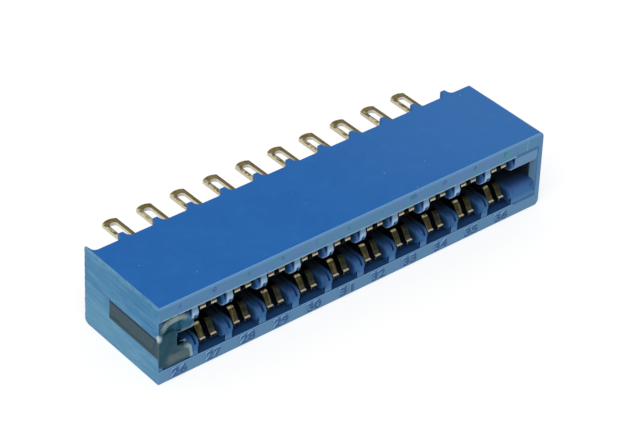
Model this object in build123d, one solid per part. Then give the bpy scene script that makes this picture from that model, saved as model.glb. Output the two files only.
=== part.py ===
"""A length of card edge connector sawn from a longer strip: housing, sprung contacts and a sealed cut end."""

import os

from build123d import *

# Driving dimensions, in millimetres and degrees.
# In the working frame X runs along the length from the cut end, Y back from the mating face and Z up.

# Positions along the strip
pitch = 3.96
first_position = 26
position_count = 11
empty_positions = 1
cut_to_first_cell = 2.12
end_block = 3.3

# Housing
body_height = 8.8
body_depth = 10.47
lower_lip = 1.5
upper_lip = 1.7
back_wall = 2.7
edge_round = 0.15
end_corner_round = 0.7
end_wall = 0.55
end_step = 0.34
end_step_front = 5.5
end_step_back = 8.0

# Card slot and its rounded lead-in
slot_height = 1.85
slot_end_wall = 1.0
nose_setback = 0.08

# Separators between the cells
foot_thickness = 0.82
head_thickness = 1.36
head_gap = 0.13
head_edge_round = 0.32
key_slit = 0.26
key_slit_offset = 0.15
key_slit_reach = 0.8

# Barrier ribs on the back
rib_root_width = 0.9
rib_tip_width = 0.5
rib_reach = 0.96
rib_root_round = 0.5
rib_tip_round = 0.2

# Contacts
stock = 0.38
row_inset = 0.62
contact_width = 1.92
prong_gap = 0.6
prong_split = 5.6
contact_side_clearance = 0.03
spring_root = 0.85
root_bend = 2.5
crest_setback = 1.55
crest_height = 0.68
crest_bend = 0.6
heel_setback = 0.89
heel_inset = 0.905
heel_bend = 0.25
tip_setback = 0.55
tip_inset = 0.845

# Solder tails
tail_reach = 5.63
tail_width = 1.7
tail_tip_radius = 1.4
shoulder = 0.5
eyelet_width = 0.9
eyelet_end = 0.65
eyelet_length = 3.3

# Saw cut
cut_yaw = 1.2
cut_lean = 0.8

# Sealant over the cut end
seal_front = 0.1
seal_depth = 1.7
seal_hole_start = 2.0
seal_hole_height = 2.0
seal_hole_lift = 0.55
seal_hole_round = 0.6
seal_slot_reach = 0.35

# Places worked out from the driving dimensions
mouth_top = body_height - upper_lip
middle = (lower_lip + mouth_top) / 2
nose_radius = (mouth_top - lower_lip - slot_height - 2 * head_gap) / 4
nose_centre = middle - slot_height / 2 - nose_radius
nose_back = nose_setback + nose_radius
row_z = lower_lip + row_inset
separator_count = position_count + 1
last_separator = cut_to_first_cell + (position_count - 0.5) * pitch
body_length = last_separator + end_block
cavity_depth = body_depth - back_wall
window_width = pitch - foot_thickness
overall_depth = body_depth + tail_reach
slot_end = body_length - slot_end_wall
past = 2.0


def cell_x(index):
    """Centre of a cell along the length, where the cell next to the cut is number 0."""
    return cut_to_first_cell + index * pitch


def separator_x(index):
    """Centre of the separator before a cell."""
    return cell_x(index) - pitch / 2


def block(x_range, y_range, z_range):
    """A box between two values on each axis."""
    size = [high - low for low, high in (x_range, y_range, z_range)]
    centre = [(high + low) / 2 for low, high in (x_range, y_range, z_range)]
    return Pos(*centre) * Box(*size)


def across(profile, x_range):
    """A profile drawn in Y and Z, carried along X between two values."""
    plane = Plane(origin=(x_range[0], 0, 0), x_dir=(0, 1, 0), z_dir=(1, 0, 0))
    return extrude(plane * profile, amount=x_range[1] - x_range[0])


def upright(profile, z_range):
    """A profile drawn in X and Y, carried up Z between two values."""
    return extrude(Pos(0, 0, z_range[0]) * profile, amount=z_range[1] - z_range[0])


def mirrored(shape):
    """The same shape on the other side of the card's middle plane."""
    return mirror(shape, about=Plane(origin=(0, 0, middle), z_dir=(0, 0, 1)))


def plan_outline():
    """The body from above: a bar with a rib behind each separator and a narrower back at the moulded end."""
    start = -past
    corners = [
        (start, 0),
        (body_length, 0),
        (body_length, end_step_front),
        (body_length - end_step, end_step_back),
        (body_length - end_step, body_depth),
        (start, body_depth),
    ]
    outline = Polygon(*corners, align=None)
    for index in range(separator_count):
        rib = Polygon(
            (-rib_root_width / 2, -edge_round), (rib_root_width / 2, -edge_round),
            (rib_tip_width / 2, rib_reach), (-rib_tip_width / 2, rib_reach), align=None,
        )
        outline += Pos(separator_x(index), body_depth) * rib
    corners = outline.vertices()
    on_back = corners.filter_by_position(Axis.Y, body_depth - edge_round / 2, body_depth + edge_round / 2)
    roots = on_back.filter_by_position(Axis.X, start + pitch / 4, last_separator + pitch / 4)
    outline = fillet(roots, rib_root_round)
    corners = outline.vertices()
    tips = corners.filter_by_position(Axis.Y, body_depth + rib_reach / 2, body_depth + 2 * rib_reach)
    return fillet(tips, rib_tip_round)


def body_blank():
    """The housing before its openings: plan, side and end outlines brought together."""
    plan = upright(plan_outline(), (0, body_height))
    full_depth = body_depth + rib_reach
    side = Pos(full_depth / 2, body_height / 2) * RectangleRounded(full_depth, body_height, edge_round)
    end_width = body_length + past + end_corner_round
    end = Rectangle(end_width, body_height)
    corners = end.vertices().group_by(Axis.X)[-1]
    end = fillet(corners, end_corner_round)
    end_centre = (body_length - end_width / 2, full_depth, body_height / 2)
    end_solid = extrude(Plane(origin=end_centre, x_dir=(1, 0, 0), z_dir=(0, -1, 0)) * end, amount=full_depth)
    return plan & across(side, (-past, body_length)) & end_solid


def lead_in(x_range):
    """Space between the lips in front of the card slot, where each edge is rounded like a nose."""
    opening = Polygon(
        (-past, lower_lip), (nose_setback, lower_lip), (nose_setback, nose_centre),
        (nose_back, nose_centre), (nose_back, middle), (-past, middle), align=None,
    )
    nose = Pos(nose_back, nose_centre) * Circle(nose_radius)
    lower = across(opening - nose, x_range)
    return lower + mirrored(lower)


def card_slot():
    """Slot for the card's edge, open at the cut and closed by the end wall."""
    half = slot_height / 2
    slot = block((-past, slot_end), (nose_back, cavity_depth), (middle - half, middle + half))
    mouth = lead_in((-past, slot_end))
    flare = slot_end_wall - end_wall
    funnel = Polygon(
        (slot_end - flare, 0), (slot_end + flare, 0), (slot_end, nose_back), (slot_end - flare, nose_back),
        align=None,
    )
    side = upright(funnel, (lower_lip, mouth_top)) & lead_in((slot_end - flare, slot_end + flare))
    return slot + mouth + side


def separator_head(x):
    """The thick part of a separator on one side of the slot, with a round nose towards the mating face."""
    web = Rectangle(cavity_depth, 2 * nose_radius, align=(Align.MIN, Align.CENTER))
    outline = Pos(nose_back, nose_centre) * (Circle(nose_radius) + web)
    half = head_thickness / 2
    head = across(outline, (x - half, x + half))
    rims = head.edges().filter_by(GeomType.CIRCLE)
    return fillet(rims, head_edge_round)


def cell_space(index):
    """One contact cavity: a window between the lips, and a narrower space past the separators' heads."""
    x = cell_x(index)
    half_window = window_width / 2
    space = block((x - half_window, x + half_window), (-past, cavity_depth), (lower_lip, mouth_top))
    for side in (index, index + 1):
        head = separator_head(separator_x(side))
        space -= head
        space -= mirrored(head)
    return space


def key_slit_space(index):
    """Narrow slit in a separator for a keying plug, a little to the moulded end's side of its middle."""
    half = slot_height / 2 + key_slit_reach
    x = separator_x(index) + key_slit_offset
    return block((x - key_slit / 2, x + key_slit / 2), (-past, cavity_depth), (middle - half, middle + half))


def wall_slots(index):
    """The two slots in the back wall that hold a cell's contacts."""
    x = cell_x(index)
    half = contact_width / 2 + contact_side_clearance
    y_range = (cavity_depth - spring_root, body_depth + past)
    lower = block((x - half, x + half), y_range, (row_z - stock / 2, row_z + stock / 2))
    return lower + mirrored(lower)


def saw_side():
    """Everything on the waste side of the saw cut, which leans a little in both directions."""
    waste = Box(6 * pitch, 6 * body_depth, 6 * body_height, align=(Align.MAX, Align.CENTER, Align.CENTER))
    return Rot(0, cut_lean, -cut_yaw) * waste


def housing_solid():
    """The moulded housing, cut to length."""
    housing = body_blank()
    housing -= card_slot()
    for index in range(position_count):
        housing -= cell_space(index)
        housing -= wall_slots(index)
    for index in range(1, position_count):
        housing -= key_slit_space(index)
    return housing - saw_side()


def contact_solid(index):
    """A lower contact: solder tail with its eyelet, straight hold in the back wall, and two sprung prongs."""
    x = cell_x(index)
    tip_y = overall_depth
    path_points = [
        (x, tip_y, row_z),
        (x, cavity_depth - spring_root, row_z),
        (x, crest_setback, middle - crest_height),
        (x, heel_setback, lower_lip + heel_inset),
        (x, tip_setback, lower_lip + tip_inset),
    ]
    path = FilletPolyline(*path_points, radius=(root_bend, crest_bend, heel_bend))
    section = Plane(origin=path @ 0, x_dir=(1, 0, 0), z_dir=path % 0) * Rectangle(contact_width, stock)
    strip = sweep(section, path=path)
    z_range = (row_z - past, middle)
    strip -= block((x - prong_gap / 2, x + prong_gap / 2), (-past, prong_split), z_range)
    shoulder_y = body_depth + shoulder
    tail = Rectangle(2 * tail_width, tail_reach, align=(Align.CENTER, Align.MIN))
    tail -= Rectangle(tail_width, 2 * tail_reach, align=(Align.CENTER, Align.CENTER))
    sides = upright(Pos(x, shoulder_y) * tail, z_range)
    strip -= sides
    tip = Pos(x, tip_y - tail_tip_radius) * Circle(tail_tip_radius)
    beyond = Pos(x, tip_y - tail_tip_radius) * Rectangle(
        2 * tail_width, 2 * tail_tip_radius, align=(Align.CENTER, Align.MIN)
    )
    strip -= upright(beyond - tip, z_range)
    eyelet = SlotOverall(eyelet_length, eyelet_width, rotation=90)
    return strip - upright(Pos(x, tip_y - eyelet_end - eyelet_length / 2) * eyelet, z_range)


def sealant_solid(housing):
    """Sealant run into the cut end: it fills the slot and webs over the first mouth, round one hole."""
    half = slot_height / 2
    wall = separator_x(0) + foot_thickness / 2
    fill = block((-past, wall + seal_slot_reach), (seal_front, cavity_depth), (middle - half, middle + half))
    window = cell_x(0) + window_width / 2
    web = block((-past, window), (seal_front, seal_front + seal_depth), (lower_lip, mouth_top))
    hole_width = window - seal_hole_start
    hole = RectangleRounded(hole_width + 2 * seal_hole_round, seal_hole_height, seal_hole_round)
    hole_centre = (seal_hole_start + seal_hole_round + hole_width / 2, 0, middle + seal_hole_lift)
    web -= extrude(Plane(origin=hole_centre, x_dir=(1, 0, 0), z_dir=(0, 1, 0)) * hole, amount=past * 2)
    return (fill + web) - housing - saw_side()


def save(shape, name):
    """Write one piece, moved so that the whole part is centred over the origin and stands on it."""
    placed = Pos(-body_length / 2, -overall_depth / 2, 0) * shape
    solids = placed.solids()
    result = solids[0] if len(solids) == 1 else Compound(children=list(solids))
    export_step(result, f"parts/{name}.step")


os.makedirs("parts", exist_ok=True)
housing_piece = housing_solid()
save(housing_piece, "housing")
save(sealant_solid(housing_piece), "end_sealant")
for cell in range(empty_positions, position_count):
    lower_piece = contact_solid(cell)
    position = first_position + cell
    save(lower_piece, f"lower_contact_{position}")
    save(mirrored(lower_piece), f"upper_contact_{position}")
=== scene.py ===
"""Looks of a length of card edge connector that was sawn from a longer strip.

The moulded housing, its plated contacts and the sealant in the cut end are dressed or modelled here round
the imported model. Everything is in the model's frame, in metres: X runs along the length from the cut end,
Y back from the mating face and Z up. Sizes are written in millimetres, as on a drawing, and turned into
metres where a mesh is made.
"""

import logging
import math
from dataclasses import dataclass
from enum import Enum
from typing import Any, ClassVar, Iterable, Mapping, Sequence, Union

import bmesh
import bpy
import numpy as np
from mathutils import Matrix, Vector


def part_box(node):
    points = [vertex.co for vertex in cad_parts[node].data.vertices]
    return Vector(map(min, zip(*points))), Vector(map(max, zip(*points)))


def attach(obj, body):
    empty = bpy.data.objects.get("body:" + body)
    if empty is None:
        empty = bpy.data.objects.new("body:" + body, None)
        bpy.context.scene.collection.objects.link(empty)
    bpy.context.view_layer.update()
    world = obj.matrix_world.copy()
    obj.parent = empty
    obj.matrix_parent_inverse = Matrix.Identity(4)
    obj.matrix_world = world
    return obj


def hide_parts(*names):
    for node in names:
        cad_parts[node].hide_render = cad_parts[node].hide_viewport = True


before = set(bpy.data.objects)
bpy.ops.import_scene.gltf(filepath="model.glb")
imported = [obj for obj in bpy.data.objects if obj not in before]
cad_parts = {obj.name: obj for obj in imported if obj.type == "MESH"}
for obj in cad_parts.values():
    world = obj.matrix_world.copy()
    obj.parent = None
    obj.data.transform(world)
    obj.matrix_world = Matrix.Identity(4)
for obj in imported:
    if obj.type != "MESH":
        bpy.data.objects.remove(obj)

log = logging.getLogger("connector")

MM = 0.001
ROOT = "root"
HOUSING_SLOT = "housing_plastic"
CONTACT_SLOT = "contact_metal"

MERGED = 0.0005 * MM
CREASE = 35.0

Colour = tuple[float, float, float, float]
Place = tuple[float, float, float]
Band = tuple[float, float]
Key = Union[str, int]
Value = Union["Wire", Colour, float]


def display(red: float, green: float, blue: float) -> Colour:
    """Linear colour of a display colour.

    Args:
        red: Red as shown on a screen, 0 to 255.
        green: Green in the same way.
        blue: Blue in the same way.

    Returns:
        The linear colour with an alpha of 1.
    """
    shares = np.array([red, green, blue]) / 255.0
    linear = np.where(shares <= 0.04045, shares / 12.92, ((shares + 0.055) / 1.055) ** 2.4)
    return (float(linear[0]), float(linear[1]), float(linear[2]), 1.0)


def grey(share: float) -> Colour:
    """Linear grey of a share of white."""
    return (share, share, share, 1.0)


class Wire:
    """An output of a shader tree. Python's operators on it add Math nodes to the tree."""

    def __init__(self, sheet: "Sheet", socket: bpy.types.NodeSocket) -> None:
        """Keeps the tree and the output socket."""
        self.sheet = sheet
        self.socket = socket

    def __add__(self, other: Value) -> "Wire":
        """Sum of two values."""
        return self.sheet.maths("ADD", self, other)

    __radd__ = __add__

    def __sub__(self, other: Value) -> "Wire":
        """This value less another."""
        return self.sheet.maths("SUBTRACT", self, other)

    def __rsub__(self, other: Value) -> "Wire":
        """Another value less this one."""
        return self.sheet.maths("SUBTRACT", other, self)

    def __mul__(self, other: Value) -> "Wire":
        """Product of two values."""
        return self.sheet.maths("MULTIPLY", self, other)

    __rmul__ = __mul__

    def __neg__(self) -> "Wire":
        """This value with its sign changed."""
        return self.sheet.maths("MULTIPLY", self, -1.0)

    def __abs__(self) -> "Wire":
        """This value without its sign."""
        return self.sheet.maths("ABSOLUTE", self)

    def __or__(self, other: Value) -> "Wire":
        """The larger of two masks."""
        return self.sheet.maths("MAXIMUM", self, other)

    def rise(self, low: float, high: float) -> "Wire":
        """Mask that goes smoothly from 0 at low to 1 at high.

        Args:
            low: Value at which the mask is 0.
            high: Value at which the mask is 1.

        Returns:
            The mask, held between 0 and 1.
        """
        settings = {"interpolation_type": "SMOOTHSTEP"}
        inputs = {"Value": self, "From Min": low, "From Max": high}
        return self.sheet.wire("ShaderNodeMapRange", settings, inputs, "Result")

    def fall(self, low: float, high: float) -> "Wire":
        """Mask that goes smoothly from 1 at low to 0 at high."""
        return 1.0 - self.rise(low, high)

    def past(self, edge: float, band: Band) -> "Wire":
        """Mask that rises over a band of distances past an edge."""
        return self.rise(edge + band[0], edge + band[1])

    def until(self, edge: float, band: Band) -> "Wire":
        """Mask that falls over a band of distances past an edge."""
        return 1.0 - self.past(edge, band)

    def within(self, rising: Band, falling: Band) -> "Wire":
        """Mask that rises over one band and falls over another."""
        return self.rise(*rising) * self.fall(*falling)


class Sheet:
    """Node tree of one material or of the world, filled through a few short methods."""

    def __init__(self, tree: bpy.types.NodeTree) -> None:
        """Empties the tree and keeps it."""
        tree.nodes.clear()
        self.tree = tree

    @staticmethod
    def _socket(sockets: Iterable[bpy.types.NodeSocket], key: Key) -> bpy.types.NodeSocket:
        """Socket with a name, an identifier or a number.

        Args:
            sockets: A node's inputs or outputs.
            key: The socket's number, identifier or name.

        Returns:
            The first socket that fits.
        """
        if isinstance(key, int):
            return list(sockets)[key]
        by_identifier = [s for s in sockets if s.identifier == key]
        return (by_identifier or [s for s in sockets if s.name == key])[0]

    def node(self, kind: str, settings: Mapping[str, Any], inputs: Mapping[Key, Any]) -> bpy.types.Node:
        """Adds a node.

        Args:
            kind: Blender's type name of the node.
            settings: Its settings, which are set first.
            inputs: Values or wires of its input sockets.

        Returns:
            The new node.
        """
        node = self.tree.nodes.new(kind)
        for name, value in settings.items():
            setattr(node, name, value)
        for key, value in inputs.items():
            socket = self._socket(node.inputs, key)
            if isinstance(value, Wire):
                self.tree.links.new(value.socket, socket)
            else:
                socket.default_value = value
        return node

    def wire(
        self, kind: str, settings: Mapping[str, Any], inputs: Mapping[Key, Any], output: Key = 0
    ) -> Wire:
        """Adds a node and gives one of its outputs.

        Args:
            kind: Blender's type name of the node.
            settings: Its settings, which are set first.
            inputs: Values or wires of its input sockets.
            output: Name or number of the output.

        Returns:
            The output as a wire.
        """
        node = self.node(kind, settings, inputs)
        return Wire(self, self._socket(node.outputs, output))

    def maths(self, operation: str, *values: Value) -> Wire:
        """Adds a Math node for an operation on one to three values."""
        return self.wire("ShaderNodeMath", {"operation": operation}, dict(enumerate(values)))

    def vector_maths(self, operation: str, inputs: Mapping[Key, Any], output: Key = 0) -> Wire:
        """Adds a Vector Math node."""
        return self.wire("ShaderNodeVectorMath", {"operation": operation}, inputs, output)

    def blend(self, mask: Value, first: Union[Wire, Colour], second: Union[Wire, Colour]) -> Wire:
        """Colour that is the first where the mask is 0 and the second where it is 1."""
        settings = {"data_type": "RGBA"}
        inputs = {"Factor_Float": mask, "A_Color": first, "B_Color": second}
        return self.wire("ShaderNodeMix", settings, inputs, "Result_Color")

    def parts(self, vector: Wire) -> tuple[Wire, Wire, Wire]:
        """The three components of a vector."""
        node = self.node("ShaderNodeSeparateXYZ", {}, {0: vector})
        return (Wire(self, node.outputs[0]), Wire(self, node.outputs[1]), Wire(self, node.outputs[2]))

    def bump(self, height: Wire, depth: float, distance: float) -> Wire:
        """Surface direction tilted by a height from 0 to 1."""
        return self.wire("ShaderNodeBump", {}, {"Height": height, "Strength": depth, "Distance": distance})

    def seen(self) -> Wire:
        """Mask of what the camera sees, straight or in a reflection."""
        path = self.node("ShaderNodeLightPath", {}, {})
        return Wire(self, path.outputs["Is Camera Ray"]) | Wire(self, path.outputs["Is Glossy Ray"])


@dataclass(frozen=True)
class Mottle:
    """Noise in waves per millimetre, and the band of its values over which it rises as a mask."""

    scale: float
    detail: float = 2.0
    roughness: float = 0.5
    stretch: Place = (1.0, 1.0, 1.0)
    band: Band = (0.0, 1.0)


@dataclass(frozen=True)
class Layout:
    """Places that several pieces and finishes share, in millimetres of the model's frame."""

    front: float
    back: float
    top: float
    left: float
    right: float
    first_cell: float
    pitch: float
    mouth_middle: float
    mouth_half: float
    nose_offset: float = 1.795
    nose_radius: float = 0.87
    nose_setback: float = 0.08
    crest_from_front: float = 1.6
    leg_from_front: float = 0.74
    tip_from_middle: float = 1.88
    ribs: float = 0.96
    saw_yaw: float = 1.2
    saw_lean: float = 0.8
    slot_half: float = 0.925
    slot_depth: float = 7.77
    end_block: float = 3.4
    end_wall: float = 0.55
    first_position: int = 26
    positions: int = 11

    @classmethod
    def from_frame(cls) -> "Layout":
        """Reads the places off the boxes of the housing, two neighbouring contacts and the sealant.

        Returns:
            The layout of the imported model.
        """
        low, high = (Vector(corner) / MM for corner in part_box("housing"))
        contact_low, contact_high = (Vector(corner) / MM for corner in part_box("lower_contact_27"))
        next_low = Vector(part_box("lower_contact_28")[0]) / MM
        seal_low, seal_high = (Vector(corner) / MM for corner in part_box("end_sealant"))
        pitch = next_low.x - contact_low.x
        return cls(
            front=low.y,
            back=high.y - cls.ribs,
            top=high.z,
            left=low.x,
            right=high.x,
            first_cell=(contact_low.x + contact_high.x) / 2 - pitch,
            pitch=pitch,
            mouth_middle=(seal_low.z + seal_high.z) / 2,
            mouth_half=(seal_high.z - seal_low.z) / 2,
        )

    @property
    def corner(self) -> np.ndarray:
        """Where the cut end meets the mating face and the bottom."""
        return np.array([self.left, self.front, 0.0])

    @property
    def saw_slopes(self) -> np.ndarray:
        """How far the saw cut goes along X for each millimetre along X, Y and Z."""
        return np.array([0.0, math.tan(math.radians(self.saw_yaw)), math.tan(math.radians(self.saw_lean))])

    def cell(self, position: int) -> float:
        """Middle of a numbered cell along the connector."""
        return self.first_cell + (position - self.first_position) * self.pitch


class Site:
    """The place and the direction of a piece's surface, in millimetres, with the noise that belongs there."""

    def __init__(self, sheet: Sheet, layout: Layout, origin: Sequence[float]) -> None:
        """Adds the nodes that read them.

        Args:
            sheet: The tree that the nodes go into.
            layout: The shared places.
            origin: The point from which places are counted.
        """
        self.sheet = sheet
        place = sheet.wire("ShaderNodeTexCoord", {}, {}, "Object")
        place = sheet.vector_maths("SCALE", {0: place, "Scale": 1.0 / MM})
        self.place = sheet.vector_maths("SUBTRACT", {0: place, 1: tuple(origin)})
        self.x, self.y, self.z = sheet.parts(self.place)
        facing = sheet.wire("ShaderNodeTexCoord", {}, {}, "Normal")
        self.turn_x, self.turn_y, self.turn_z = sheet.parts(facing)
        self.depth = self.y - (layout.front - origin[1])
        self.from_middle = abs(self.z - layout.mouth_middle)

    def noise(self, look: Mottle) -> Wire:
        """Smooth noise from 0 to 1."""
        vector = self.sheet.vector_maths("MULTIPLY", {0: self.place, 1: look.stretch})
        inputs = {"Vector": vector, "Scale": look.scale, "Detail": look.detail, "Roughness": look.roughness}
        return self.sheet.wire("ShaderNodeTexNoise", {}, inputs)

    def mottled(self, look: Mottle) -> Wire:
        """Mask that rises over the noise's band."""
        return self.noise(look).rise(*look.band)


def new_material(name: str) -> tuple[bpy.types.Material, Sheet]:
    """A material and its emptied tree."""
    material = bpy.data.materials.new(name)
    material.use_nodes = True
    return material, Sheet(material.node_tree)


@dataclass(frozen=True)
class Finish:
    """A finish of one Principled shader.

    A finish is a stack of colours, each laid over the last through a mask. Its bands are the values between
    which a mask goes from none to full: cosines where they say which way the surface faces, else millimetres.
    A number from 0 to 1 that multiplies a mask is the strength of that layer.
    """

    layout: Layout

    @property
    def origin(self) -> Sequence[float]:
        """The point from which places are counted."""
        return (0.0, 0.0, 0.0)

    def inputs(self, at: Site) -> dict[str, Value]:
        """The shader's inputs at a place on the piece."""
        raise NotImplementedError

    def material(self, name: str) -> bpy.types.Material:
        """Builds the finish.

        Args:
            name: Name of the material.

        Returns:
            The material.
        """
        material, sheet = new_material(name)
        inputs = self.inputs(Site(sheet, self.layout, self.origin))
        shader = sheet.wire("ShaderNodeBsdfPrincipled", {}, inputs)
        sheet.node("ShaderNodeOutputMaterial", {}, {"Surface": shader})
        return material


@dataclass(frozen=True)
class MouldedBlue(Finish):
    """Moulding compound: deep blue skin, front painted pale as a sheen, cells painted dark as shade, a
    bright, streaked saw cut.
    """

    skin: Colour = display(20, 101, 177)
    skin_shade: Colour = display(16, 96, 172)
    skin_greyer: Colour = display(50, 112, 179)
    speck: Colour = display(196, 214, 228)
    # The lips' colours are paler than the skin as a painted sheen, with drifting tones.
    lip: Colour = display(88, 138, 180)
    lip_violet: Colour = display(98, 134, 188)
    lip_teal: Colour = display(84, 146, 172)
    lip_low: Colour = display(108, 152, 188)
    # Raised marks are painted darker as shade, with a painted highlight on their lit faces.
    mark_shade: Colour = display(60, 102, 152)
    mark_highlight: Colour = display(160, 200, 230)
    # Colour of the painted highlights along the front edges.
    edge: Colour = display(122, 174, 220)
    # Colour of the painted highlights along the lips' inner edges.
    rim: Colour = display(160, 198, 220)
    # Colours of the separators' fronts, painting their light and shade.
    nose_low: Colour = display(58, 108, 164)
    nose_shade: Colour = display(46, 88, 142)
    nose_deep: Colour = display(44, 78, 124)
    nose_top: Colour = display(34, 58, 88)
    foot_low: Colour = display(78, 126, 172)
    foot_high: Colour = display(106, 148, 184)
    foot_bright: Colour = display(160, 196, 226)
    hood: Colour = display(70, 124, 186)
    hood_deep: Colour = display(24, 50, 104)
    hood_rim: Colour = display(160, 186, 224)
    # Sides painted lighter away from the noses and darker near them as shade; the end wall painted light.
    side: Colour = display(40, 94, 152)
    side_shade: Colour = display(38, 64, 96)
    end_wall: Colour = display(96, 134, 166)
    end_roll: Colour = display(108, 152, 190)
    end_roll_rim: Colour = display(140, 164, 206)
    # Dark line painted as shade in the end block's creases.
    end_line: Colour = display(66, 112, 164)
    # Floors painted darker deeper in and cells painted dark, as shade.
    floor_front: Colour = display(30, 64, 108)
    floor_back: Colour = display(22, 38, 56)
    cell: Colour = display(30, 40, 50)
    rib: Colour = display(48, 116, 184)
    cut: Colour = display(76, 140, 184)
    cut_pale: Colour = display(120, 172, 200)
    cut_deep: Colour = display(60, 122, 170)
    cut_line: Colour = display(124, 172, 206)
    smear: Colour = display(56, 78, 88)
    sawn_foot: Colour = display(48, 92, 130)

    grain: Mottle = Mottle(7.0, 3.0, 0.65)
    clouds: Mottle = Mottle(0.3, band=(0.4, 0.6))
    dulling: Mottle = Mottle(0.8, 3.0, band=(0.45, 0.8))
    dusty: Mottle = Mottle(0.6, 1.0, band=(0.52, 0.6))
    edge_glint_breaks: Mottle = Mottle(1.1, band=(0.2, 0.55))
    violet_drift: Mottle = Mottle(1.3, band=(0.4, 0.65))
    teal_drift: Mottle = Mottle(0.8, 3.0, 0.6, band=(0.5, 0.75))
    rim_glint_breaks: Mottle = Mottle(1.7, 3.0, 0.6, band=(0.25, 0.5))
    nose_cloud: Mottle = Mottle(1.6, 3.0, 0.6, band=(0.35, 0.6))
    blade: Mottle = Mottle(1.5, 4.0, stretch=(1.0, 0.3, 6.0))
    streaks: Mottle = Mottle(1.6, 5.0, 0.65, (1.0, 0.14, 4.0), (0.35, 0.65))
    lines: Mottle = Mottle(2.0, 3.0, 0.6, (1.0, 0.07, 6.0), (0.54, 0.66))
    patches: Mottle = Mottle(0.9, 3.0, 0.6, (1.0, 0.35, 1.3), (0.45, 0.75))
    chips: Mottle = Mottle(2.0, 3.0, 0.6, band=(0.35, 0.6))

    faces_front: Band = (0.55, 0.9)
    faces_along: Band = (0.5, 0.9)
    faces_up: Band = (0.7, 0.9)
    faces_floor: Band = (0.6, 0.9)
    rib_facing: Band = (0.2, 0.8)
    mark_facing: Band = (0.3, 0.8)
    edge_glint_front: Band = (0.4, 0.7)
    edge_glint_tilt: Band = (0.15, 0.4)
    top_tilt: Band = (0.4, 0.6)

    face_depth: Band = (0.02, 0.06)
    edge_glint_depth: Band = (0.2, 0.3)
    edge_glint_top: Band = (-0.3, -0.2)
    proud_depth: Band = (-0.02, -0.005)
    back_edge: Band = (-0.05, 0.05)
    mouth_edge: Band = (0.02, 0.06)
    mouth_depth: Band = (0.03, 0.07)
    mouth_back: Band = (-0.3, -0.1)
    wall_face: Band = (0.03, 0.08)
    cut_reach: Band = (0.65, 0.75)
    dull_along: Band = (-6.0, 24.0)
    dust_scale: float = 0.8
    dust_size: Band = (0.02, 0.06)
    upper_rim: Band = (0.04, 0.16)
    lower_rim: Band = (0.04, 0.1)
    line_from_end: float = 2.1
    line_width: Band = (0.03, 0.08)
    lip_top: Band = (-0.5, -0.25)
    block_start: Band = (-0.2, 0.0)
    block_rim: float = 0.1
    block_rim_width: Band = (0.03, 0.14)
    block_rim_end: Band = (-0.7, -0.4)
    side_depth: Band = (1.0, 2.6)
    side_ring: Band = (0.3, 0.8)
    last_side: Band = (-1.6, -1.4)
    last_side_depth: Band = (0.66, 0.8)
    nose_start: Band = (0.5, 0.7)
    nose_end: Band = (1.0, 1.3)
    nose_depth: Band = (1.2, 2.6)
    floor_edge: Band = (-0.3, -0.1)
    floor_depth: Band = (0.5, 1.8)
    roll_start: Band = (0.6, 0.82)
    roll_end: Band = (0.95, 1.0)
    roll_depth: Band = (0.7, 1.3)
    head_depth: Band = (0.2, 0.4)
    feet_start: Band = (1.5, 2.0)
    feet_end: Band = (-0.2, -0.1)
    sawn_width: Band = (0.9, 1.2)
    middle: Band = (-0.1, 0.1)
    clouded_part: Band = (-0.12, 0.06)
    nose_inner: Band = (0.95, 1.8)
    nose_tip: Band = (0.95, 1.25)
    stripe_start: Band = (0.5, 0.62)
    stripe_end: Band = (0.67, 0.72)
    low_foot_side: Band = (-0.45, -0.35)
    low_foot_top: Band = (2.0, 2.6)
    hood_part: Band = (-0.32, -0.18)
    hood_shade: Band = (1.55, 2.15)
    hood_shade_side: Band = (-0.62, -0.3)
    hood_rim_top: Band = (1.25, 1.55)
    foot_bright_top: Band = (1.9, 2.5)
    dent_top: Band = (1.6, 1.9)
    dent_side: Band = (0.1, 0.2)
    foot_rim_top: Band = (1.25, 1.45)
    foot_rim_side: Band = (0.58, 0.66)
    roll_rim_top: Band = (1.3, 1.7)
    roll_line: Band = (2.5, 2.65)
    chalk_low: Band = (2.0, 5.5)
    chalk_back: Band = (2.0, 8.0)
    border_top: Band = (-0.9, -0.1)
    border_front: Band = (0.1, 0.35)
    smear_start: Band = (-0.6, -0.35)
    smear_end: Band = (0.0, 0.2)
    smear_back: Band = (0.0, 0.1)
    grain_depth: float = 0.03
    blade_depth: float = 0.25
    relief: float = 0.1
    roughness: float = 0.42
    gloss: float = 0.14

    def inputs(self, at: Site) -> dict[str, Value]:
        """Lays the skin, the lips, the painted edge highlights, the marks, the ribs, the mouth and the cut
        over one another.

        Args:
            at: The place on the piece.

        Returns:
            The shader's inputs.
        """
        layout, blend = self.layout, at.sheet.blend
        grain = at.noise(self.grain)
        # Faces turned to the front take the lips' colour, painted paler than the skin as a sheen over
        # drifting tones.
        face = (-at.turn_y).rise(*self.faces_front) * at.depth.fall(*self.face_depth)
        colour = blend(face, self._skin(at, grain), self._lip(at))
        # The edge colour laid here is a painted highlight along the front edges, broken up by a mottle.
        colour = blend(self._edge_glint(at), colour, self.edge)
        # Raised marks: painted darker as the shade of their strokes, with a painted highlight on faces turned
        # up and to the left.
        proud = at.depth.fall(*self.proud_depth)
        colour = blend(proud, colour, self.mark_shade)
        colour = blend(proud * (at.turn_z - at.turn_x).rise(*self.mark_facing), colour, self.mark_highlight)
        # The ribs' left flanks are painted lighter, standing in for light on their shaded side.
        rib = (-at.turn_x).rise(*self.rib_facing) * at.y.past(layout.back, self.back_edge)
        colour = blend(rib, colour, self.rib)

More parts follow.
